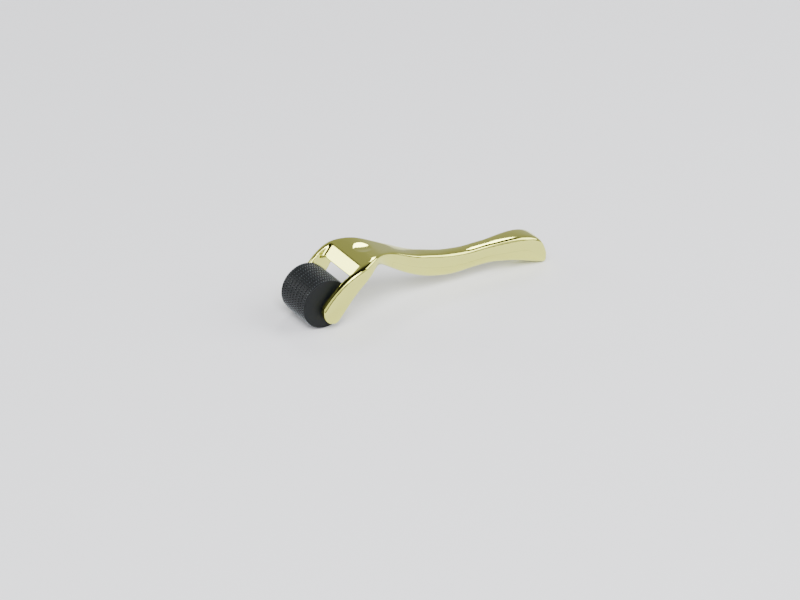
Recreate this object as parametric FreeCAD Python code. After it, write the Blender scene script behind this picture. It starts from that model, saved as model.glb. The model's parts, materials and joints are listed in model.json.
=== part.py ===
import FreeCAD
import Part

import math
import os

V = FreeCAD.Vector
ALONG_Y = V(0, 1, 0)

# Hand-held micro-needle roller: a plated plastic handle whose fork carries a drum of needle discs.
# Row frame: +X from the drum towards the tail, +Y along the drum's axle, +Z up.  The origin is on
# the table, under the middle of the overall box.  The roller rests on its needles and on its heel.

# ---- overall sizes, mm
overall_length = 135.0
needle_circle_diameter = 24.0
needle_height = 0.5
drum_length = 20.0

# ---- drum stack
needle_rows = 9
needles_per_row = 60
disc_thickness = 0.25
needle_base_width = 0.62
disc_rim_step = 0.25
spacer_edge_chamfer = 0.22
core_diameter = 15.0
core_key_width = 2.4
core_key_height = 1.2
stack_clearance = 0.03
cap_flange_thickness = 1.0
cap_edge_radius = 0.35
cap_boss_diameter = 8.0
cap_boss_length = 4.5
boss_clearance = 0.04
thrust_pad_diameter = 5.0
thrust_pad_gap = 0.3

# ---- axle
axle_diameter = 2.0
axle_end_chamfer = 0.2
axle_running_clearance = 0.05
axle_seat_clearance = 0.02
axle_seat_depth = 1.4
axle_end_gap = 0.1

# ---- fork: its arms run back from the axle, with their middle behind it by a setback, and stand
# further out by the splay at the web
fork_angle = 48.6
arm_thickness = 3.6
arm_side_gap = 0.9
arm_splay = 1.5
throat_gap = 3.8
throat_corner_radius = 1.6
web_edge_setback = 1.0
web_height = 7.4
web_reach = 13.0
arm_tip_depth = 12.2
arm_tip_setback = 3.6
arm_mid_depth = 11.0
arm_mid_setback = 2.8
arm_root_depth = 8.2
arm_root_setback = 4.0

# ---- bend, where the fork turns over into the handle
root_rise = 4.4
shoulder_depth = 6.4
shoulder_width = 29.0
shoulder_rise = 9.0
shoulder_setback = 6.0
crest_depth = 5.8
crest_width = 22.0
crest_rise = 13.0
crest_setback = 9.3
dish_length = 15.0
dish_width = 10.0
dish_depth = 0.8
dish_advance = 2.5

# ---- handle sections, depth by width
neck_depth = 6.2
neck_width = 16.8
nape_depth = 8.0
nape_width = 12.4
grip_depth = 10.2
grip_width = 9.6
belly_depth = 11.6
belly_width = 8.6
waist_depth = 10.2
waist_width = 7.8
hump_depth = 13.0
hump_width = 11.6
end_depth = 6.1
end_width = 10.4
largest_corner = 3.6

# ---- S-curve of the handle about the straight line from crest to tail end
sag = 5.6
hump = 3.9

# ---- shells and the pegs that join them
wall = 1.5
seam_drop = 0.6
peg_shares = (0.45, 0.64, 0.84)
peg_diameter = 2.2
socket_diameter = 4.2
peg_clearance = 0.05
peg_engagement = 2.0
socket_floor_gap = 0.4
rest_land = 0.12

# ---- worked out from the above
tip_radius = needle_circle_diameter / 2
drum_radius = tip_radius - needle_height
axle_x = -overall_length / 2 + tip_radius
axle_z = tip_radius
tail_x = overall_length / 2
stack_length = drum_length - 2 * cap_flange_thickness
spacer_thickness = (stack_length - needle_rows * disc_thickness) / (needle_rows - 1)
row_pitch = spacer_thickness + disc_thickness
fork_inner = drum_length / 2 + arm_side_gap
fork_outer = fork_inner + arm_thickness
web_distance = tip_radius + throat_gap
beyond = overall_length

# ---- how finely the handle's skin is ruled, and its section: how far in from the side each point
# is, as a share of the corner's size, and how high, as a share of half the depth
SECTION_COUNT = 44
SURFACE_DEGREE = 3
SECTION = (
    (1.00, 1.00),
    (0.38, 0.97),
    (0.05, 0.86),
    (0.00, 0.45),
    (0.00, -0.25),
    (0.12, -0.78),
    (0.56, -0.99),
)
NECK_STATION = 7
LAST_HOLLOW_STATION = 16
UPRIGHT_FROM_STATION = 14


def arm_point(along, setback):
    """Point in the side view, measured from the axle along the fork and back behind its line."""
    angle = math.radians(fork_angle)
    x = axle_x + along * math.cos(angle) + setback * math.sin(angle)
    z = axle_z + along * math.sin(angle) - setback * math.cos(angle)
    return x, z


def handle_point(share, lift):
    """Point in the side view at a share of the way from crest to tail end, lifted off that line."""
    crest_x, crest_z = arm_point(web_distance + crest_rise, crest_setback)
    end_z = end_depth / 2 - rest_land
    x = crest_x + share * (tail_x - crest_x)
    z = crest_z + share * (end_z - crest_z) + lift
    return x, z


def stations():
    """Sections from beyond the arm tips to the tail end: side-view centre, depth and width."""
    fork = 2 * fork_outer
    fork_root = fork + 2 * arm_splay
    swell_width = (hump_width + waist_width) / 2
    return [
        (arm_point(-arm_tip_depth, arm_tip_setback), arm_tip_depth, fork),
        (arm_point(0, arm_tip_setback), arm_tip_depth, fork),
        (arm_point(0.7 * web_distance, arm_mid_setback), arm_mid_depth, (fork + fork_root) / 2),
        (arm_point(web_distance + root_rise, arm_root_setback), arm_root_depth, fork_root),
        (arm_point(web_distance + shoulder_rise, shoulder_setback), shoulder_depth, shoulder_width),
        (arm_point(web_distance + crest_rise, crest_setback), crest_depth, crest_width),
        (handle_point(0.049, -0.04 * sag), neck_depth, neck_width),
        (handle_point(0.114, -0.30 * sag), nape_depth, nape_width),
        (handle_point(0.253, -0.88 * sag), grip_depth, grip_width),
        (handle_point(0.354, -sag), belly_depth, belly_width),
        (handle_point(0.466, -0.88 * sag), belly_depth, waist_width),
        (handle_point(0.579, -0.41 * sag), waist_depth, waist_width),
        (handle_point(0.672, 0.07 * hump), waist_depth, waist_width),
        (handle_point(0.775, 0.66 * hump), (waist_depth + hump_depth) / 2, swell_width),
        (handle_point(0.888, hump), hump_depth, hump_width),
        (handle_point(0.928, 0.91 * hump), hump_depth, hump_width),
        (handle_point(0.963, 0.70 * hump), 0.88 * hump_depth, hump_width),
        (handle_point(0.987, 0.36 * hump), 0.69 * hump_depth, (hump_width + end_width) / 2),
        (handle_point(1.0, 0), end_depth, end_width),
    ]


def monotone(knots, values, at):
    """Smooth curve through the values that never overshoots them."""
    gaps = [after - before for before, after in zip(knots, knots[1:])]
    slopes = [(b - a) / gap for a, b, gap in zip(values, values[1:], gaps)]
    tangents = [slopes[0]]
    for low, high in zip(slopes, slopes[1:]):
        tangents.append(0.0 if low * high <= 0 else 2 * low * high / (low + high))
    tangents.append(slopes[-1])
    span = 0
    while span < len(gaps) - 1 and at > knots[span + 1]:
        span += 1
    t = (at - knots[span]) / gaps[span]
    value = (1 + 2 * t) * (1 - t) ** 2 * values[span] + t * t * (3 - 2 * t) * values[span + 1]
    value += gaps[span] * t * (1 - t) ** 2 * tangents[span]
    value -= gaps[span] * t * t * (1 - t) * tangents[span + 1]
    return value


def spine():
    """Curve through the station centres in the side view, each station's place on it, the rows."""
    rows = stations()
    curve = Part.BSplineCurve()
    curve.interpolate([V(row[0][0], 0, row[0][1]) for row in rows])
    places = [curve.parameter(V(row[0][0], 0, row[0][1])) for row in rows]
    return curve, places, rows


def section_outline(centre, heading, depth, width, inset):
    """Control points of a closed section, square to its heading, drawn in by inset all round."""
    half_width = width / 2 - inset
    half_depth = depth / 2 - inset
    corner = min(0.92 * half_width, 0.95 * half_depth, largest_corner)
    right = [(half_width - corner * inward, half_depth * high) for inward, high in SECTION]
    left = [(-y, z) for y, z in reversed(right)]
    outline = right + [(0.0, -half_depth)] + left + [(0.0, half_depth)]
    points = []
    for y, z in outline:
        points.append(V(centre.x - z * math.sin(heading), y, centre.z + z * math.cos(heading)))
    return points


def capped_surface(outlines):
    """Solid whose side is one smooth surface drawn by rings of control points, with flat ends."""
    around = len(outlines[0])
    along = len(outlines)
    poles = [[outline[place] for outline in outlines] for place in range(around)]
    along_knots = list(range(along - SURFACE_DEGREE + 1))
    along_mults = [1] * len(along_knots)
    along_mults[0] = SURFACE_DEGREE + 1
    along_mults[-1] = SURFACE_DEGREE + 1
    surface = Part.BSplineSurface()
    surface.buildFromPolesMultsKnots(
        poles,
        [1] * (around + 1),
        along_mults,
        list(range(around + 1)),
        along_knots,
        True,
        False,
        SURFACE_DEGREE,
        SURFACE_DEGREE,
    )
    side = surface.toShape()
    ends = [Part.Face(Part.Wire([rim])) for rim in side.Edges if rim.isClosed()]
    shell = Part.makeShell([side] + ends)
    shell.sewShape()
    solid = Part.Solid(shell)
    if solid.Volume < 0:
        solid.reverse()
    return solid


def handle_skin(inset, first_station, last_station):
    """Solid bounded by the handle's skin drawn in by inset, between two stations."""
    curve, places, rows = spine()
    depths = [row[1] for row in rows]
    widths = [row[2] for row in rows]
    start = places[first_station]
    run = places[last_station] - start
    upright_from = places[UPRIGHT_FROM_STATION]
    outlines = []
    for index in range(SECTION_COUNT):
        at = start + run * index / (SECTION_COUNT - 1)
        direction = curve.tangent(at)[0]
        heading = math.atan2(direction.z, direction.x)
        if at > upright_from:
            heading *= 1 - ((at - upright_from) / (places[-1] - upright_from)) ** 0.6
        depth = monotone(places, depths, at)
        width = monotone(places, widths, at)
        outlines.append(section_outline(curve.value(at), heading, depth, width, inset))
    return capped_surface(outlines)


def in_fork_frame(shape):
    """Turns a shape drawn with X along the fork from the axle into the row frame."""
    shape.rotate(V(0, 0, 0), ALONG_Y, -fork_angle)
    shape.translate(V(axle_x, 0, axle_z))
    return shape


def side_view_prism(corners, half_width):
    """Straight-sided side-view outline, drawn out to both sides of the middle plane."""
    points = [V(x, -half_width, z) for x, z in corners]
    outline = Part.makePolygon(points + [points[0]])
    return Part.Face(outline).extrude(V(0, 2 * half_width, 0))


def between_arms():
    """The space between the arms' inner faces, which stand further apart towards the web."""
    half_widths = (
        (-beyond, fork_inner),
        (0, fork_inner),
        (2 * web_distance, fork_inner + 2 * arm_splay),
    )
    near = [V(along, -half, -beyond) for along, half in half_widths]
    far = [V(along, half, -beyond) for along, half in reversed(half_widths)]
    plan = Part.Face(Part.makePolygon(near + far + [near[0]]))
    return in_fork_frame(plan.extrude(V(0, 0, 2 * beyond)))


def drum_bay():
    """The room between the arms: in front of the web's face, and behind it under a level roof."""
    edge_x, edge_z = arm_point(web_distance, web_edge_setback)
    crease = arm_point(web_distance + web_height, web_edge_setback)
    front_x, front_z = arm_point(web_distance + web_height, web_edge_setback - beyond)
    roof_end = edge_x + web_reach
    corners = [
        (edge_x, edge_z),
        (roof_end, edge_z),
        (roof_end, -beyond),
        (front_x, -beyond),
        (front_x, front_z),
        crease,
    ]
    bay = side_view_prism(corners, 2 * fork_outer).common(between_arms())
    rounded = []
    for edge in bay.Edges:
        lengthwise = abs(edge.Vertexes[0].Y - edge.Vertexes[1].Y) < wall
        from_web = [math.hypot(end.X - edge_x, end.Z - edge_z) for end in edge.Vertexes]
        if lengthwise and min(from_web) < wall:
            rounded.append(edge)
    return bay.makeFillet(throat_corner_radius, rounded)


def thumb_dish():
    """Shallow oval hollow in the top of the crest."""
    crest_x, crest_z = arm_point(web_distance + crest_rise, crest_setback)
    bulge = dish_width ** 2 / (8 * dish_depth) + dish_depth / 2
    stretch = FreeCAD.Matrix()
    stretch.scale(dish_length / dish_width, 1, 1)
    ball = Part.makeSphere(bulge).transformGeometry(stretch)
    ball.translate(V(crest_x - dish_advance, 0, crest_z + crest_depth / 2 - dish_depth + bulge))
    return ball


def tip_trim():
    """What is cut away to round the arm tips off in the side view."""
    radius = arm_tip_depth / 2
    block = Part.makeBox(beyond, beyond, beyond, V(-beyond, -beyond / 2, -beyond / 2 - arm_tip_setback))
    nose = Part.makeCylinder(radius, beyond, V(0, -beyond / 2, -arm_tip_setback), ALONG_Y)
    return in_fork_frame(block.cut(nose))


def below_table():
    """What is cut away to leave the small flat land that the heel rests on."""
    return Part.makeBox(beyond, beyond, beyond, V(0, -beyond / 2, -beyond))


def axle_seats():
    """Blind seats for the axle pin in the inner faces of both arms."""
    radius = axle_diameter / 2 + axle_seat_clearance
    reach = fork_inner + axle_seat_depth
    return Part.makeCylinder(radius, 2 * reach, V(axle_x, -reach, axle_z), ALONG_Y)


def below_seam():
    """Everything under the parting line, from the nape of the neck to beyond the tail."""
    curve, places, rows = spine()
    low = -end_depth
    start = places[NECK_STATION]
    line = []
    for index in range(9):
        at = start + (places[-1] - start) * index / 8
        point = curve.value(at)
        line.append(V(point.x, -beyond / 2, point.z - seam_drop))
    line.append(V(tail_x + wall, -beyond / 2, line[-1].z))
    seam = Part.BSplineCurve()
    seam.interpolate(line)
    corners = [line[-1], V(line[-1].x, -beyond / 2, low), V(line[0].x, -beyond / 2, low), line[0]]
    sides = [Part.LineSegment(a, b).toShape() for a, b in zip(corners, corners[1:])]
    return Part.Face(Part.Wire([seam.toShape()] + sides)).extrude(V(0, beyond, 0))


def peg_places():
    """Where the pegs stand: the point of the parting line above each."""
    curve, places, rows = spine()
    run = places[-1] - places[0]
    return [curve.value(places[0] + share * run) - V(0, 0, seam_drop) for share in peg_shares]


def handle_shells():
    """Upper shell with the fork, and the cover that closes its underside."""
    last = len(stations()) - 1
    outside = handle_skin(0, 0, last).cut(drum_bay()).cut(tip_trim()).cut(below_table())
    outside = outside.cut(thumb_dish()).cut(axle_seats())
    shell = outside.cut(handle_skin(wall, NECK_STATION, LAST_HOLLOW_STATION))
    within_wall = handle_skin(wall / 2, NECK_STATION, LAST_HOLLOW_STATION)
    lower_half = below_seam()
    upper = shell.cut(lower_half)
    lower = shell.common(lower_half)
    for place in peg_places():
        foot = place - V(0, 0, peg_engagement)
        peg = Part.makeCylinder(peg_diameter / 2, hump_depth, foot)
        upper = upper.fuse(peg.common(within_wall))
        post_foot = place - V(0, 0, hump_depth)
        post = Part.makeCylinder(socket_diameter / 2, hump_depth, post_foot).common(within_wall)
        bore_foot = foot - V(0, 0, socket_floor_gap)
        bore = Part.makeCylinder(peg_diameter / 2 + peg_clearance, hump_depth, bore_foot)
        lower = lower.fuse(post.common(lower_half)).cut(bore.common(within_wall))
    return upper, lower


def axle_pin():
    """Fixed steel pin that the drum turns on."""
    reach = fork_inner + axle_seat_depth - axle_end_gap
    pin = Part.makeCylinder(axle_diameter / 2, 2 * reach, V(axle_x, -reach, axle_z), ALONG_Y)
    rims = [edge for edge in pin.Edges if edge.Closed]
    return pin.makeChamfer(axle_end_chamfer, rims)


def on_drum(shape, y):
    """Puts a piece drawn round the Z axis onto the drum's axis, starting at y."""
    shape.rotate(V(0, 0, 0), V(1, 0, 0), -90)
    shape.translate(V(axle_x, y, axle_z))
    return shape


def keys(half_width, outer_radius, length):
    """Two ribs on opposite sides of the core, drawn round the Z axis."""
    rib = Part.makeBox(2 * outer_radius, 2 * half_width, length, V(-outer_radius, -half_width, 0))
    round_top = Part.makeCylinder(outer_radius, length)
    return rib.common(round_top)


def drum_core():
    """Keyed tube that the discs and rings are threaded on."""
    key_top = core_diameter / 2 + core_key_height
    core = Part.makeCylinder(core_diameter / 2, stack_length)
    core = core.fuse(keys(core_key_width / 2, key_top, stack_length))
    core = core.cut(Part.makeCylinder(cap_boss_diameter / 2, stack_length))
    return on_drum(core.removeSplitter(), -stack_length / 2)


def core_hole(length):
    """The hole in a disc or ring that slides over the keyed core."""
    key_top = core_diameter / 2 + core_key_height + stack_clearance
    hole = Part.makeCylinder(core_diameter / 2 + stack_clearance, length)
    return hole.fuse(keys(core_key_width / 2 + stack_clearance, key_top, length)).removeSplitter()


def needle_disc(y):
    """Thin steel disc whose rim is a row of needles, starting at y."""
    root_radius = drum_radius - disc_rim_step
    half_base = needle_base_width / 2 / root_radius
    rim = []
    for number in range(needles_per_row):
        angle = 2 * math.pi * number / needles_per_row
        for turn, radius in ((-half_base, root_radius), (0, tip_radius), (half_base, root_radius)):
            rim.append(V(radius * math.cos(angle + turn), radius * math.sin(angle + turn), 0))
    rim.append(rim[0])
    disc = Part.Face(Part.makePolygon(rim)).extrude(V(0, 0, disc_thickness))
    return on_drum(disc.cut(core_hole(disc_thickness)), y)


def spacer_ring(y):
    """Plastic ring between two needle discs, starting at y."""
    ring = Part.makeCylinder(drum_radius, spacer_thickness)
    rims = [edge for edge in ring.Edges if edge.Closed]
    ring = ring.makeChamfer(spacer_edge_chamfer, rims)
    return on_drum(ring.cut(core_hole(spacer_thickness)), y)


def end_cap():
    """Flange, boss and thrust pad of the left cap, which turns on the pin."""
    flange = Part.makeCylinder(drum_radius, cap_flange_thickness)
    rims = [edge for edge in flange.Edges if edge.Closed]
    outer_rim = min(rims, key=lambda edge: edge.CenterOfMass.z)
    flange = flange.makeFillet(cap_edge_radius, [outer_rim])
    boss_radius = cap_boss_diameter / 2 - boss_clearance
    boss = Part.makeCylinder(boss_radius, cap_boss_length, V(0, 0, cap_flange_thickness))
    pad_height = arm_side_gap - thrust_pad_gap
    pad = Part.makeCylinder(thrust_pad_diameter / 2, pad_height, V(0, 0, -pad_height))
    bore_length = pad_height + cap_flange_thickness + cap_boss_length
    bore_radius = axle_diameter / 2 + axle_running_clearance
    bore = Part.makeCylinder(bore_radius, bore_length, V(0, 0, -pad_height))
    return on_drum(flange.fuse([boss, pad]).cut(bore), -drum_length / 2)


def mirrored(shape):
    """The same piece on the other side of the roller's middle plane."""
    return shape.mirror(V(0, 0, 0), ALONG_Y)


def build():
    """All the pieces by node name."""
    upper, lower = handle_shells()
    cap = end_cap()
    nodes = {
        "handle_upper_shell": upper,
        "handle_lower_cover": lower,
        "axle_pin": axle_pin(),
        "drum_core": drum_core(),
        "left_end_cap": cap,
        "right_end_cap": mirrored(cap),
    }
    for row in range(needle_rows):
        y = -stack_length / 2 + row * row_pitch
        nodes[f"needle_disc_{row + 1}"] = needle_disc(y)
        if row < needle_rows - 1:
            nodes[f"spacer_ring_{row + 1}"] = spacer_ring(y + disc_thickness)
    return nodes


def main():
    """Writes one STEP file for each piece."""
    os.makedirs("parts", exist_ok=True)
    for name, shape in build().items():
        solids = shape.Solids
        if len(solids) != 1 or not shape.isValid():
            raise RuntimeError(f"{name}: {len(solids)} solids, valid {shape.isValid()}")
        solids[0].exportStep(f"parts/{name}.step")
        print(f"{name}: {shape.Volume:.2f} mm3")


if __name__ == "__main__":
    main()
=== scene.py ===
import json
import math

import bpy
from mathutils import Matrix, Vector


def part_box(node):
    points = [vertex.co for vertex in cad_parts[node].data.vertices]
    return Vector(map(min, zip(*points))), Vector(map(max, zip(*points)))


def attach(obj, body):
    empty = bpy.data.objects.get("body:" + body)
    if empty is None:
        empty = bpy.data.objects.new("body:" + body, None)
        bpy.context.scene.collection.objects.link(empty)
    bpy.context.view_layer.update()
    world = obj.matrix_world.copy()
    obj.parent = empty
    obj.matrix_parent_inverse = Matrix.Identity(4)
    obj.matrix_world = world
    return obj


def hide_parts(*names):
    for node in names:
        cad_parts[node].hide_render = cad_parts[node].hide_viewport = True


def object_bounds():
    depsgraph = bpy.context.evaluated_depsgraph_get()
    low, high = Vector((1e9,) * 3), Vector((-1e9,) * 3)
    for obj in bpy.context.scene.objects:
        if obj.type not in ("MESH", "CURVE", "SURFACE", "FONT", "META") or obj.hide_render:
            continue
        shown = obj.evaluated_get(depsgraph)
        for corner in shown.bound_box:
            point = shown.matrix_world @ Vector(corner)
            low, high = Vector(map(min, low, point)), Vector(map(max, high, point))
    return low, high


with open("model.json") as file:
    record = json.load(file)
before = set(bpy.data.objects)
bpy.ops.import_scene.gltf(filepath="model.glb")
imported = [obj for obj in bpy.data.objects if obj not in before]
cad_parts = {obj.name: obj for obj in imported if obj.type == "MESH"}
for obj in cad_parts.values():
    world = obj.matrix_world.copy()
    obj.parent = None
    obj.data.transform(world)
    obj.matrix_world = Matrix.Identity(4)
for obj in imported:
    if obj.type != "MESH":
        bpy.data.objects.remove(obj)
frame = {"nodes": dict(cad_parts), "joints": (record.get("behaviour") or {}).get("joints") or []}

bl_info = {
    "name": "Needle roller maker",
    "version": (1, 0, 0),
    "blender": (4, 5, 0),
    "location": "3D View > Sidebar > Roller",
    "description": "Models and finishes a hand-held micro-needle roller around its packed frame",
    "category": "Object",
}

CAD_BOX = [list(corner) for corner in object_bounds()]
NODES = frame["nodes"]
JOINT = frame["joints"][0]
MM = 0.001
CAD_WELD = 0.001 * MM
TURNED_WELD = 0.002 * MM
CORNER_SEGMENTS = 4

SHELLS = ("handle_upper_shell", "handle_lower_cover")
CAPS = ("left_end_cap", "right_end_cap")
DISCS = sorted(name for name in NODES if name.startswith("needle_disc_"))
SPACERS = sorted(name for name in NODES if name.startswith("spacer_ring_"))


# ---------------------------------------------------------------- sizes and colours


class HandleSizes(bpy.types.PropertyGroup):
    """What shapes the plated handle."""

    skin_grain: bpy.props.FloatProperty(
        name="Skin grain", description="Size of the squares that the skin is laid in",
        default=0.36 * MM, unit="LENGTH")
    edge_passes: bpy.props.IntProperty(
        name="Edge passes", description="How often the skin is eased, which rounds its edges",
        default=12)
    parting_gap: bpy.props.FloatProperty(
        name="Parting gap", description="Hairline between the two shells",
        default=0.05 * MM, unit="LENGTH")
    overhang: bpy.props.FloatProperty(
        name="Overhang", description="How far the parting block reaches past the tail",
        default=6 * MM, unit="LENGTH")
    parting_stations: bpy.props.IntProperty(
        name="Parting stations", description="Places along the handle where the parting line is taken",
        default=40)


class DrumSizes(bpy.types.PropertyGroup):
    """What shapes the drum's plastic pieces."""

    turned_sides: bpy.props.IntProperty(
        name="Turned sides", description="Sides of each turned piece", default=128)
    ring_edge: bpy.props.FloatProperty(
        name="Ring edge", description="Radius on the edges of a spacer ring",
        default=0.2 * MM, unit="LENGTH")
    cap_edge: bpy.props.FloatProperty(
        name="Cap edge", description="Radius on the rim of an end cap",
        default=0.35 * MM, unit="LENGTH")
    bearing_clearance: bpy.props.FloatProperty(
        name="Bearing clearance", description="Room round the pin in an end cap",
        default=0.05 * MM, unit="LENGTH")
    pad_height: bpy.props.FloatProperty(
        name="Pad height", description="How far the thrust pad stands out of the cap's face",
        default=0.6 * MM, unit="LENGTH")
    pad_radius: bpy.props.FloatProperty(
        name="Pad radius", description="Radius of the thrust pad",
        default=2.5 * MM, unit="LENGTH")
    boss_radius: bpy.props.FloatProperty(
        name="Boss radius", description="Radius of the boss that centres the cap in the core",
        default=3.96 * MM, unit="LENGTH")


class Finishes(bpy.types.PropertyGroup):
    """Colours of the finishes, as linear reflectance."""

    plating: bpy.props.FloatVectorProperty(
        name="Plating", description="Pale lemon gold of the vacuum plating",
        subtype="COLOR", default=(0.72, 0.735, 0.19))
    plating_shade: bpy.props.FloatVectorProperty(
        name="Plating shade", description="Plating where it is thinnest",
        subtype="COLOR", default=(0.67, 0.67, 0.10))
    plastic: bpy.props.FloatVectorProperty(
        name="Plastic", description="Moulded black plastic of the drum",
        subtype="COLOR", default=(0.0055, 0.0066, 0.0072))
    steel: bpy.props.FloatVectorProperty(
        name="Steel", description="Stainless steel of the needle discs",
        subtype="COLOR", default=(0.25, 0.27, 0.28))


class StudioSizes(bpy.types.PropertyGroup):
    """Camera, floor and lights."""

    azimuth: bpy.props.FloatProperty(
        name="Azimuth", description="Camera's direction round the roller",
        default=math.radians(-34.1), subtype="ANGLE")
    elevation: bpy.props.FloatProperty(
        name="Elevation", description="Camera's height above the floor as an angle",
        default=math.radians(28.6), subtype="ANGLE")
    roll: bpy.props.FloatProperty(
        name="Roll", description="Camera's tilt about its own line of sight",
        default=math.radians(2.9), subtype="ANGLE")
    distance: bpy.props.FloatProperty(
        name="Distance", description="Camera's distance from what it aims at",
        default=1.572, unit="LENGTH")
    lens: bpy.props.FloatProperty(
        name="Lens", description="Focal length in millimetres on a 36 mm sensor", default=156.2)
    aim_height: bpy.props.FloatProperty(
        name="Aim height", description="Height over the floor of the middle that the aim starts from",
        default=15 * MM, unit="LENGTH")
    aim_right: bpy.props.FloatProperty(
        name="Aim to the right", description="Aim beside the middle of the roller",
        default=-7.9 * MM, unit="LENGTH")
    aim_up: bpy.props.FloatProperty(
        name="Aim upwards", description="Aim above the middle of the roller",
        default=-17.8 * MM, unit="LENGTH")
    floor_size: bpy.props.FloatProperty(
        name="Floor size", description="Side of the square floor", default=6.0, unit="LENGTH")
    floor_colour: bpy.props.FloatVectorProperty(
        name="Floor colour", description="Pale paper of the floor",
        subtype="COLOR", default=(0.895, 0.9, 0.935))


# ---------------------------------------------------------------- shader maths


class Wire:
    """A value on its way through a node tree: arithmetic on it adds the Math nodes."""

    def __init__(self, tree, socket):
        self.tree = tree
        self.socket = socket

    def maths(self, operation, *values):
        node = self.tree.nodes.new("ShaderNodeMath")
        node.operation = operation
        for slot, value in zip(node.inputs, values):
            plug(self.tree, value, slot)
        return Wire(self.tree, node.outputs[0])

    def __add__(self, other):
        return self.maths("ADD", self, other)

    def __mul__(self, other):
        return self.maths("MULTIPLY", self, other)

    def __pow__(self, other):
        return self.maths("POWER", self, other)

    __radd__ = __add__
    __rmul__ = __mul__


def plug(tree, value, slot):
    """Links a wire to a socket, or sets the socket to a number, a vector or a colour."""
    if isinstance(value, Wire):
        tree.links.new(value.socket, slot)
    elif hasattr(value, "__len__"):
        parts = list(value)
        if slot.type == "RGBA" and len(parts) == 3:
            parts.append(1.0)
        slot.default_value = parts
    else:
        slot.default_value = value


class Board:
    """A node tree that nodes are added to."""

    def __init__(self, tree):
        self.tree = tree
        tree.nodes.clear()

    def add(self, kind, settings=None, inputs=None, output=0):
        """Adds a node, sets it up, feeds its sockets and gives back one of its outputs.

        A ramp's stops are (position, colour) pairs, and it eases between them.
        """
        node = self.tree.nodes.new(kind)
        for name, value in (settings or {}).items():
            if name == "stops":
                ramp = node.color_ramp
                ramp.interpolation = "EASE"
                while len(ramp.elements) < len(value):
                    ramp.elements.new(1.0)
                for element, (place, colour) in zip(ramp.elements, value):
                    element.position = place
                    element.color = (*colour, 1.0)
            else:
                setattr(node, name, value)
        for name, value in (inputs or {}).items():
            plug(self.tree, value, node.inputs[name])
        return Wire(self.tree, node.outputs[output]) if node.outputs else None

    def mix(self, share, first, second):
        """Colour between two others."""
        node = self.tree.nodes.new("ShaderNodeMix")
        node.data_type = "RGBA"
        plug(self.tree, share, node.inputs["Factor"])
        plug(self.tree, first, next(s for s in node.inputs if s.name == "A" and s.type == "RGBA"))
        plug(self.tree, second, next(s for s in node.inputs if s.name == "B" and s.type == "RGBA"))
        return Wire(self.tree, next(s for s in node.outputs if s.type == "RGBA"))


def new_material(name):
    """Empty material and the board of its node tree."""
    material = bpy.data.materials.new(name)
    material.use_nodes = True
    return material, Board(material.node_tree)


def object_place(board):
    """Place on a piece, in its own coordinates."""
    return board.add("ShaderNodeTexCoord", output="Object")


def shade(colour, factor):
    """A colour made lighter or darker."""
    return [factor * part for part in colour]


def bump(board, strength, distance, height):
    """Normal that follows a small relief."""
    return board.add(
        "ShaderNodeBump", {}, {"Strength": strength, "Distance": distance, "Height": height})


def finish_with(board, sockets):
    """Ends a material's tree with a Principled shader."""
    shader = board.add("ShaderNodeBsdfPrincipled", {}, sockets)
    board.add("ShaderNodeOutputMaterial", {}, {"Surface": shader})


def noise(board, place, scale, detail=3.0):
    """Cloudy value between 0 and 1 over a place."""
    return board.add("ShaderNodeTexNoise", {}, {"Vector": place, "Scale": scale, "Detail": detail})


def gold_plating(finishes):
    """Mirror-bright vacuum plating over moulded plastic."""
    board = new_material("plating_finish")[1]
    place = object_place(board)
    cloud = noise(board, place, 90.0)
    haze = noise(board, place, 420.0, 5.0)
    dust = noise(board, place, 5200.0, 2.0)
    peel = noise(board, place, 700.0)
    finish_with(board, {
        "Base Color": board.mix(0.35 * cloud, finishes.plating, finishes.plating_shade),
        "Metallic": 1.0,
        "Roughness": 0.05 + 0.05 * haze + 0.04 * dust ** 4.0,
        "Normal": bump(board, 0.05, 0.02 * MM, peel),
    })


def black_plastic(finishes):
    """Moulded black plastic with a fine satin grain."""
    board = new_material("plastic_finish")[1]
    place = object_place(board)
    cloud = noise(board, place, 160.0)
    grain = noise(board, place, 6000.0, 2.0)
    finish_with(board, {
        "Base Color": board.mix(0.5 * cloud, finishes.plastic, shade(finishes.plastic, 1.7)),
        "Roughness": 0.46 + 0.12 * cloud,
        "Specular IOR Level": 0.18,
        "Normal": bump(board, 0.25, 0.02 * MM, grain),
    })


def steel(name, colour, streak_scale, roughness):
    """Stainless steel with streaks drawn out along Y and fine across it."""
    board = new_material(name)[1]
    stretched = board.add(
        "ShaderNodeMapping", {},
        {"Vector": object_place(board), "Scale": (streak_scale, 60.0, streak_scale)})
    streaks = noise(board, stretched, 12.0, 4.0)
    finish_with(board, {
        "Base Color": board.mix(0.6 * streaks, colour, shade(colour, 0.72)),
        "Metallic": 1.0,
        "Roughness": roughness + 0.12 * streaks,
        "Normal": bump(board, 0.2, 0.01 * MM, streaks),
    })


def paper(colour):
    """Pale matte paper of the studio floor."""
    material, board = new_material("floor_paper")
    fibres = noise(board, object_place(board), 30.0)
    finish_with(board, {
        "Base Color": board.mix(fibres, colour, shade(colour, 0.985)),
        "Roughness": 0.9,
    })
    return material


def dress(piece, material):
    """Gives a piece its one material."""
    piece.data.materials.clear()
    piece.data.materials.append(material)


# ---------------------------------------------------------------- hand work


def nothing_selected():
    """Object mode, with nothing selected."""
    if bpy.context.object and bpy.context.object.mode != "OBJECT":
        bpy.ops.object.mode_set(mode="OBJECT")
    bpy.ops.object.select_all(action="DESELECT")


def hold(*pieces):
    """Selects these pieces only, the first of them active."""
    nothing_selected()
    for piece in pieces:
        piece.select_set(True)
    bpy.context.view_layer.objects.active = pieces[0]


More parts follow.
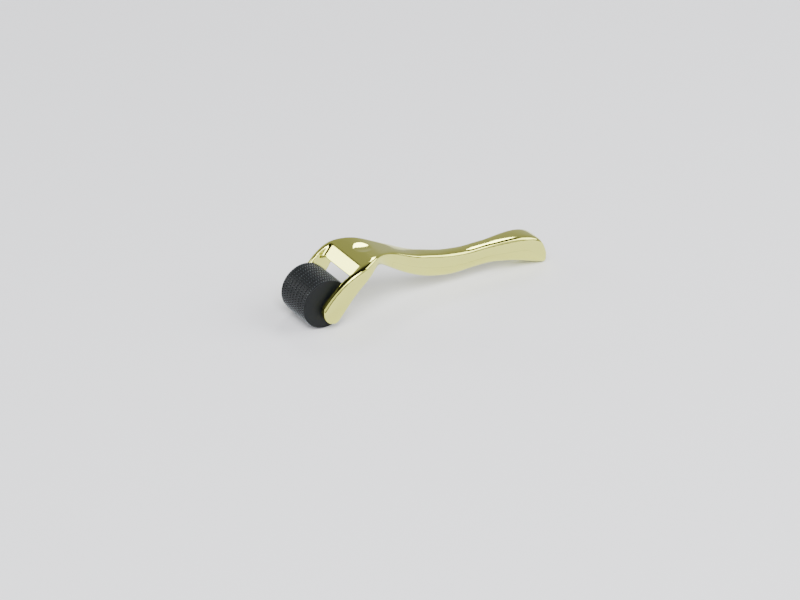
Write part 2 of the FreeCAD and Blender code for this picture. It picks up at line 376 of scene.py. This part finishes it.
def copy_of(piece, name):
    """A copy with its own mesh."""
    twin = piece.copy()
    twin.data = piece.data.copy()
    twin.name = name
    twin.data.name = name
    bpy.context.scene.collection.objects.link(twin)
    return twin


def merged_copy(names, piece_name):
    """One mesh made of copies of CAD nodes, with their loose triangles joined up."""
    copies = []
    for name in names:
        twin = copy_of(NODES[name], piece_name)
        # the node's own marks stay with the node
        for key in list(twin.keys()):
            del twin[key]
        twin.parent = None
        copies.append(twin)
    hold(*copies)
    if len(copies) > 1:
        bpy.ops.object.join()
    bpy.ops.object.mode_set(mode="EDIT")
    bpy.ops.mesh.select_all(action="SELECT")
    bpy.ops.mesh.remove_doubles(threshold=CAD_WELD)
    bpy.ops.object.mode_set(mode="OBJECT")
    return copies[0]


def apply_modifier(piece, kind, **settings):
    """Adds a modifier, sets it up and applies it."""
    hold(piece)
    modifier = piece.modifiers.new(kind.lower(), kind)
    for name, value in settings.items():
        setattr(modifier, name, value)
    bpy.ops.object.modifier_apply(modifier=modifier.name)


def discard(piece):
    """Removes a helper piece."""
    hold(piece)
    bpy.ops.object.delete()


def smooth(piece, degrees):
    """Smooth shading, with edges sharper than an angle kept."""
    hold(piece)
    bpy.ops.object.shade_smooth_by_angle(angle=math.radians(degrees))


def select_vertices(piece, wanted):
    """In edit mode, selects the vertices whose place passes a test, and nothing else."""
    bpy.ops.mesh.select_mode(type="VERT")
    bpy.ops.mesh.select_all(action="DESELECT")
    bpy.ops.object.mode_set(mode="OBJECT")
    for vertex in piece.data.vertices:
        vertex.select = wanted(vertex.co)
    bpy.ops.object.mode_set(mode="EDIT")


# ---------------------------------------------------------------- handle


def rim_height(mesh, x):
    """Height of the cover's rim where a plane square to the handle's length crosses it."""
    heights = []
    for edge in mesh.edges:
        a, b = (mesh.vertices[index].co for index in edge.vertices)
        if (a.x - x) * (b.x - x) < 0:
            heights.append(a.lerp(b, (x - a.x) / (b.x - a.x)).z)
    return max(heights)


def plated_skin(sizes):
    """The whole outside of the handle as one eased skin."""
    skin = merged_copy(SHELLS, "handle_skin")
    apply_modifier(skin, "REMESH", mode="VOXEL", voxel_size=sizes.skin_grain)
    apply_modifier(skin, "SMOOTH", factor=0.5, iterations=sizes.edge_passes)
    return skin


def parting_block(sizes):
    """Everything under the parting line, from the cover's front edge to beyond the tail."""
    cover = merged_copy(("handle_lower_cover",), "cover_copy")
    low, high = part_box("handle_lower_cover")
    front_margin = 0.2 * MM
    tail_margin = 0.8 * MM
    same_column = 0.02 * MM
    depth = 40 * MM
    nothing_selected()
    bpy.ops.mesh.primitive_grid_add(
        x_subdivisions=sizes.parting_stations, y_subdivisions=1, size=1.0,
        location=((low.x + high.x) / 2, 0, 0))
    block = bpy.context.object
    block.name = "parting_block"
    bpy.ops.transform.resize(value=(high.x - low.x, 4 * (high.y - low.y), 1))
    bpy.ops.object.transform_apply(location=True, rotation=False, scale=True)
    columns = sorted({round(vertex.co.x, 7) for vertex in block.data.vertices})
    bpy.ops.object.mode_set(mode="EDIT")
    for x in columns:
        inside = min(max(x, low.x + front_margin), high.x - tail_margin)
        select_vertices(block, lambda place: abs(place.x - x) < same_column)
        bpy.ops.transform.translate(value=(0, 0, rim_height(cover.data, inside)))
    select_vertices(block, lambda place: place.x > high.x - front_margin)
    bpy.ops.transform.translate(value=(sizes.overhang, 0, 0))
    bpy.ops.mesh.select_all(action="SELECT")
    bpy.ops.mesh.extrude_region_move(TRANSFORM_OT_translate={"value": (0, 0, -depth)})
    bpy.ops.mesh.select_all(action="SELECT")
    bpy.ops.mesh.normals_make_consistent(inside=False)
    bpy.ops.object.mode_set(mode="OBJECT")
    discard(cover)
    return block


class ROLLER_OT_handle_shells(bpy.types.Operator):
    """Models the plated upper shell and lower cover"""

    bl_idname = "roller.handle_shells"
    bl_label = "Handle shells"

    def execute(self, context):
        sizes = context.scene.roller_handle
        skin = plated_skin(sizes)
        block = parting_block(sizes)
        upper = copy_of(skin, "upper_shell")
        apply_modifier(upper, "BOOLEAN", operation="DIFFERENCE", object=block, solver="EXACT")
        hold(block)
        bpy.ops.transform.translate(value=(sizes.parting_gap, 0, -sizes.parting_gap))
        bpy.ops.object.transform_apply(location=True, rotation=False, scale=False)
        apply_modifier(skin, "BOOLEAN", operation="INTERSECT", object=block, solver="EXACT")
        discard(block)
        skin.name = "lower_cover"
        skin.data.name = "lower_cover"
        plating = bpy.data.materials["plating_finish"]
        for piece, node in ((upper, "handle_upper_shell"), (skin, "handle_lower_cover")):
            dress(piece, plating)
            smooth(piece, degrees=50)
            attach(piece, "handle")
            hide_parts(node)
        return {"FINISHED"}


class ROLLER_OT_axle_pin(bpy.types.Operator):
    """Finishes the steel pin"""

    bl_idname = "roller.axle_pin"
    bl_label = "Axle pin"

    def execute(self, context):
        dress(NODES["axle_pin"], bpy.data.materials["pin_finish"])
        return {"FINISHED"}


# ---------------------------------------------------------------- drum


def turned(name, outline, edge, sides):
    """Piece turned about the drum's axis, from an outline of (along, out) points.

    The outline is drawn point by point, its outermost corners are rounded, and it is spun all the way
    round.
    """
    centre = Vector(JOINT["pos_m"])
    reach = max(out for _, out in outline)
    nothing_selected()
    bpy.ops.mesh.primitive_plane_add(size=MM, location=centre)
    piece = bpy.context.object
    piece.name = name
    piece.data.name = name
    bpy.ops.object.transform_apply(location=True, rotation=False, scale=False)
    bpy.ops.object.mode_set(mode="EDIT")
    bpy.ops.mesh.select_all(action="SELECT")
    bpy.ops.mesh.merge(type="CENTER")
    along, out = outline[0]
    bpy.ops.transform.translate(value=(0, along - centre.y, out))
    for before, after in zip(outline, outline[1:]):
        step = (0, after[0] - before[0], after[1] - before[1])
        bpy.ops.mesh.extrude_region_move(TRANSFORM_OT_translate={"value": step})
    bpy.ops.mesh.select_all(action="SELECT")
    bpy.ops.mesh.edge_face_add()
    select_vertices(piece, lambda place: place.z > centre.z + reach - edge)
    bpy.ops.mesh.bevel(offset=edge, segments=CORNER_SEGMENTS, affect="VERTICES")
    bpy.ops.mesh.select_all(action="SELECT")
    bpy.ops.mesh.delete(type="ONLY_FACE")
    bpy.ops.mesh.select_all(action="SELECT")
    bpy.ops.mesh.spin(steps=sides, angle=math.tau, center=centre, axis=JOINT["axis"])
    bpy.ops.mesh.select_all(action="SELECT")
    bpy.ops.mesh.remove_doubles(threshold=TURNED_WELD)
    bpy.ops.mesh.normals_make_consistent(inside=False)
    bpy.ops.object.mode_set(mode="OBJECT")
    smooth(piece, degrees=40)
    return piece


def moved_copy(piece, name, offset):
    """A copy of a piece, with its place in its own mesh."""
    twin = copy_of(piece, name)
    hold(twin)
    bpy.ops.transform.translate(value=offset)
    bpy.ops.object.transform_apply(location=True, rotation=False, scale=False)
    return twin


def ride_on_drum(piece, node):
    """Finishes a plastic piece of the drum, which stands for its node."""
    dress(piece, bpy.data.materials["plastic_finish"])
    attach(piece, "drum")
    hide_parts(node)


class ROLLER_OT_spacer_rings(bpy.types.Operator):
    """Turns one spacer ring and copies it along the drum"""

    bl_idname = "roller.spacer_rings"
    bl_label = "Spacer rings"

    def execute(self, context):
        sizes = context.scene.roller_drum
        low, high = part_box(SPACERS[0])
        radius = (high.z - low.z) / 2
        core_low, core_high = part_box("drum_core")
        bore = (core_high.z - core_low.z) / 2
        outline = ((low.y, bore), (low.y, radius), (high.y, radius), (high.y, bore))
        first = turned("spacer_1", outline, sizes.ring_edge, sizes.turned_sides)
        rings = [first]
        for number, node in enumerate(SPACERS[1:], start=2):
            offset = (0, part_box(node)[0].y - low.y, 0)
            rings.append(moved_copy(first, f"spacer_{number}", offset))
        for ring, node in zip(rings, SPACERS):
            ride_on_drum(ring, node)
        return {"FINISHED"}


class ROLLER_OT_end_caps(bpy.types.Operator):
    """Turns both end caps: flange, thrust pad and boss"""

    bl_idname = "roller.end_caps"
    bl_label = "End caps"

    def execute(self, context):
        sizes = context.scene.roller_drum
        pin_low, pin_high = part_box("axle_pin")
        bore = (pin_high.z - pin_low.z) / 2 + sizes.bearing_clearance
        flange_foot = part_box("drum_core")[1].y
        for node, side in zip(CAPS, (-1, 1)):
            low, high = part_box(node)
            near, far = sorted((abs(low.y), abs(high.y)))
            radius = (high.z - low.z) / 2
            flange_face = far - sizes.pad_height
            outline = (
                (near, bore), (near, sizes.boss_radius), (flange_foot, sizes.boss_radius),
                (flange_foot, radius), (flange_face, radius), (flange_face, sizes.pad_radius),
                (far, sizes.pad_radius), (far, bore))
            outline = [(side * along, out) for along, out in outline]
            cap = turned(f"{node}_turned", outline, sizes.cap_edge, sizes.turned_sides)
            ride_on_drum(cap, node)
        return {"FINISHED"}


class ROLLER_OT_drum_core(bpy.types.Operator):
    """Finishes the core inside the drum"""

    bl_idname = "roller.drum_core"
    bl_label = "Drum core"

    def execute(self, context):
        dress(NODES["drum_core"], bpy.data.materials["plastic_finish"])
        return {"FINISHED"}


class ROLLER_OT_needle_discs(bpy.types.Operator):
    """Finishes the steel needle discs"""

    bl_idname = "roller.needle_discs"
    bl_label = "Needle discs"

    def execute(self, context):
        for name in DISCS:
            dress(NODES[name], bpy.data.materials["needle_finish"])
        return {"FINISHED"}


# ---------------------------------------------------------------- studio

# name, place in metres, side in metres, power in watts
LIGHTS = (
    ("key_light", (-0.60, -0.80, 1.20), 0.90, 34.0),
    ("fill_light", (0.90, -0.50, 0.80), 1.00, 17.0),
    ("dish_light", (0.60, 0.80, 1.00), 0.34, 5.0),
    ("web_light", (-0.80, 1.00, 0.44), 0.50, 6.0),
)

# position, brightness: a turn from behind, under the floor, to the front, overhead and back again
SURROUNDINGS = (
    (0.0, (0.80, 0.80, 0.80)),
    (0.495, (0.02, 0.02, 0.02)),
    (0.530, (0.02, 0.02, 0.02)),
    (0.550, (1.30, 1.30, 1.32)),
    (0.630, (1.50, 1.50, 1.52)),
    (0.655, (0.01, 0.01, 0.01)),
    (0.820, (0.02, 0.02, 0.02)),
    (0.880, (0.44, 0.44, 0.44)),
    (1.0, (0.62, 0.62, 0.62)),
)
SENSOR_WIDTH = 36.0
NEAREST_SEEN = 0.05


def soft_light(name, place, target, size, power):
    """Square area light aimed at a point."""
    nothing_selected()
    bpy.ops.object.light_add(type="AREA", location=place)
    light = bpy.context.object
    light.name = name
    light.data.shape = "SQUARE"
    light.data.size = size
    light.data.energy = power
    light.rotation_euler = (target - Vector(place)).to_track_quat("-Z", "Y").to_euler()


def studio_air(scene, front):
    """Soft surroundings: a bright screen in front, dark overhead and a grey wall behind."""
    world = bpy.data.worlds.new("studio_air")
    world.use_nodes = True
    scene.world = world
    board = Board(world.node_tree)
    way = board.add("ShaderNodeTexCoord", output="Generated")
    height = board.add("ShaderNodeSeparateXYZ", {}, {"Vector": way}, output="Z")
    towards = board.add(
        "ShaderNodeVectorMath", {"operation": "DOT_PRODUCT"}, {0: way, 1: front}, output="Value")
    turn = height.maths("ARCTAN2", height, towards) * (0.5 / math.pi) + 0.5
    brightness = board.add("ShaderNodeValToRGB", {"stops": SURROUNDINGS}, {"Fac": turn})
    surface = board.add("ShaderNodeBackground", {}, {"Color": brightness, "Strength": 1.0})
    board.add("ShaderNodeOutputWorld", {}, {"Surface": surface})


class ROLLER_OT_studio(bpy.types.Operator):
    """Sets up the floor, the lights and the camera"""

    bl_idname = "roller.studio"
    bl_label = "Studio"

    def execute(self, context):
        sizes = context.scene.roller_studio
        low, high = (Vector(corner) for corner in CAD_BOX)
        middle = (low + high) / 2
        nothing_selected()
        bpy.ops.mesh.primitive_plane_add(size=sizes.floor_size, location=(0, 0, 0))
        floor = bpy.context.object
        floor.name = "studio_floor"
        dress(floor, paper(sizes.floor_colour))
        front = Vector((math.sin(sizes.azimuth), -math.cos(sizes.azimuth), 0))
        studio_air(context.scene, front)

        back = front * math.cos(sizes.elevation) + Vector((0, 0, math.sin(sizes.elevation)))
        level = Vector((math.cos(sizes.azimuth), math.sin(sizes.azimuth), 0))
        upward = back.cross(level)
        aim = Vector((0, 0, sizes.aim_height)) + level * sizes.aim_right + upward * sizes.aim_up
        right = level * math.cos(sizes.roll) + upward * math.sin(sizes.roll)
        up = back.cross(right)
        bpy.ops.object.camera_add(location=aim + back * sizes.distance)
        camera = bpy.context.object
        camera.name = "studio_camera"
        camera.rotation_euler = Matrix((right, up, back)).transposed().to_euler()
        camera.data.sensor_width = SENSOR_WIDTH
        camera.data.lens = sizes.lens
        camera.data.clip_start = NEAREST_SEEN
        context.scene.camera = camera

        for name, place, size, power in LIGHTS:
            soft_light(name, place, middle, size, power)
        return {"FINISHED"}


class ROLLER_PT_maker(bpy.types.Panel):
    """Lists the pieces in the order they are made"""

    bl_idname = "ROLLER_PT_maker"
    bl_label = "Needle roller"
    bl_space_type = "VIEW_3D"
    bl_region_type = "UI"
    bl_category = "Roller"

    def draw(self, context):
        for step in STEPS:
            self.layout.operator(step.bl_idname)


STEPS = (
    ROLLER_OT_handle_shells,
    ROLLER_OT_axle_pin,
    ROLLER_OT_drum_core,
    ROLLER_OT_spacer_rings,
    ROLLER_OT_end_caps,
    ROLLER_OT_needle_discs,
    ROLLER_OT_studio,
)
GROUPS = {
    "roller_handle": HandleSizes,
    "roller_drum": DrumSizes,
    "roller_finishes": Finishes,
    "roller_studio": StudioSizes,
}


def register():
    for name, group in GROUPS.items():
        bpy.utils.register_class(group)
        setattr(bpy.types.Scene, name, bpy.props.PointerProperty(type=group))
    for step in (*STEPS, ROLLER_PT_maker):
        bpy.utils.register_class(step)


def unregister():
    for step in (*STEPS, ROLLER_PT_maker):
        bpy.utils.unregister_class(step)
    for name, group in GROUPS.items():
        delattr(bpy.types.Scene, name)
        bpy.utils.unregister_class(group)


def main():
    register()
    finishes = bpy.context.scene.roller_finishes
    gold_plating(finishes)
    black_plastic(finishes)
    steel("needle_finish", finishes.steel, streak_scale=900.0, roughness=0.40)
    steel("pin_finish", shade(finishes.steel, 2.0), streak_scale=300.0, roughness=0.12)
    for step in STEPS:
        family, name = step.bl_idname.split(".")
        getattr(getattr(bpy.ops, family), name)()


if __name__ == "__main__":
    main()
